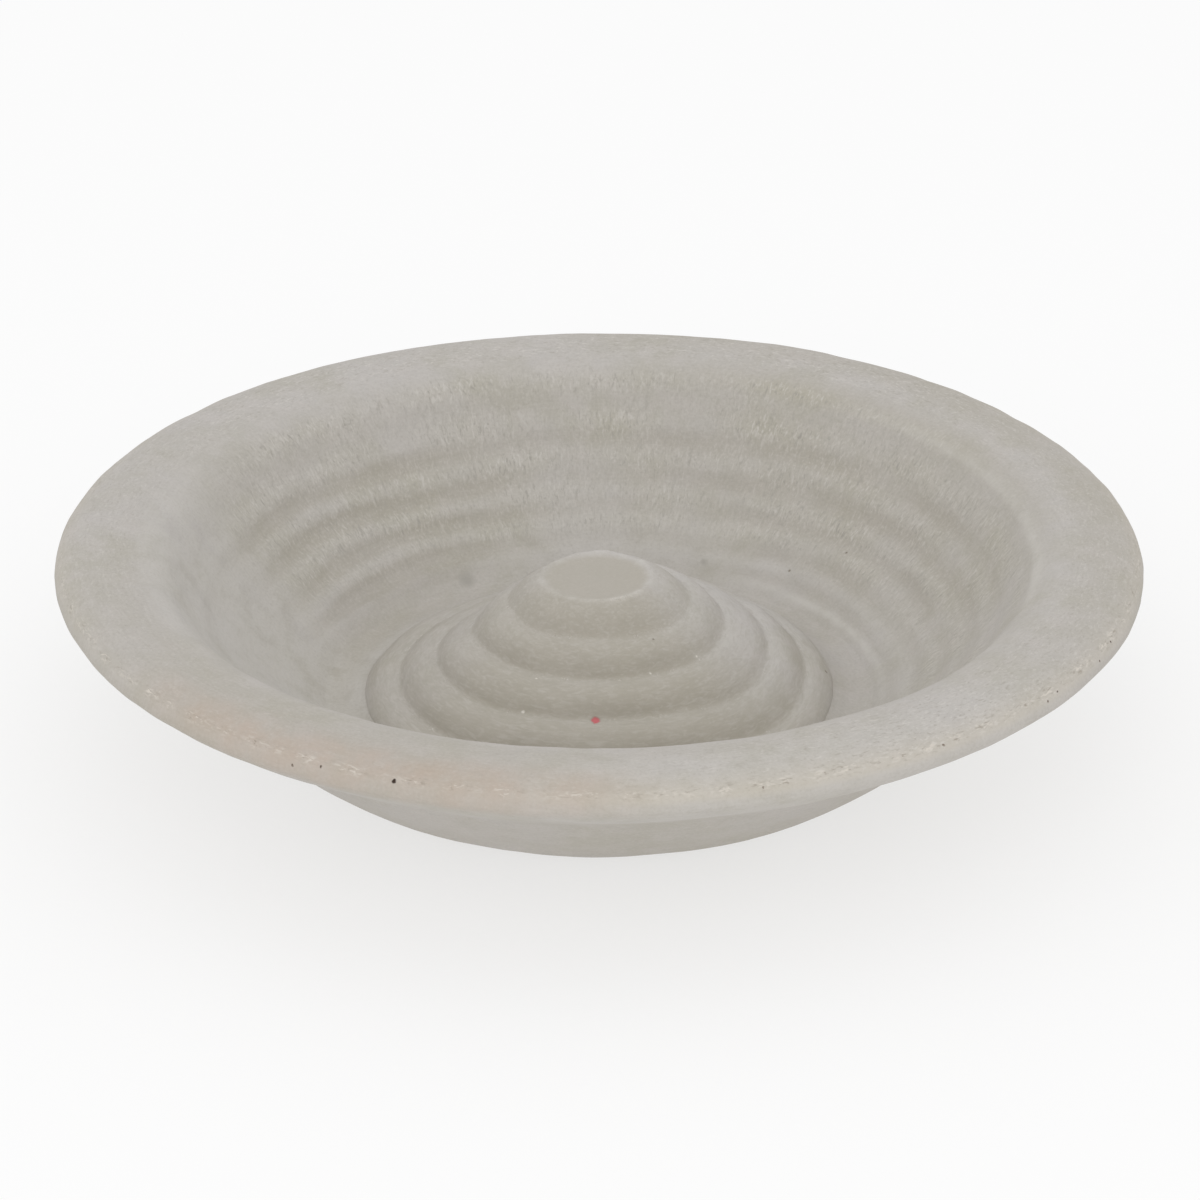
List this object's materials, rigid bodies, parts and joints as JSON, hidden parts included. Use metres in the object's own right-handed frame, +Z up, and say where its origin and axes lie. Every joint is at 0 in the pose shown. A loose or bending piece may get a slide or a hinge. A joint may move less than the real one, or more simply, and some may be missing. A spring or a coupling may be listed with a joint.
{
  "type": "birdbath",
  "caption": "Wide, shallow, unglazed clay birdbath dish with a broad rolled rim, throwing rings inside the wall, a trough and a stepped mound in the middle for birds to stand on.",
  "frame": {"origin": "centre of the dish on the surface that it stands on", "axes": "+Z up, along the axis that the dish was thrown about"},
  "size_m": [0.32, 0.32, 0.064],
  "materials": {
    "grey_slip_terracotta": "matte"
  },
  "bodies": {
    "root": {"rim_collar": "grey_slip_terracotta", "bowl_wall": "grey_slip_terracotta", "floor_ring": "grey_slip_terracotta", "centre_mound": "grey_slip_terracotta", "foot_ring": "grey_slip_terracotta"}
  },
  "joints": []
}
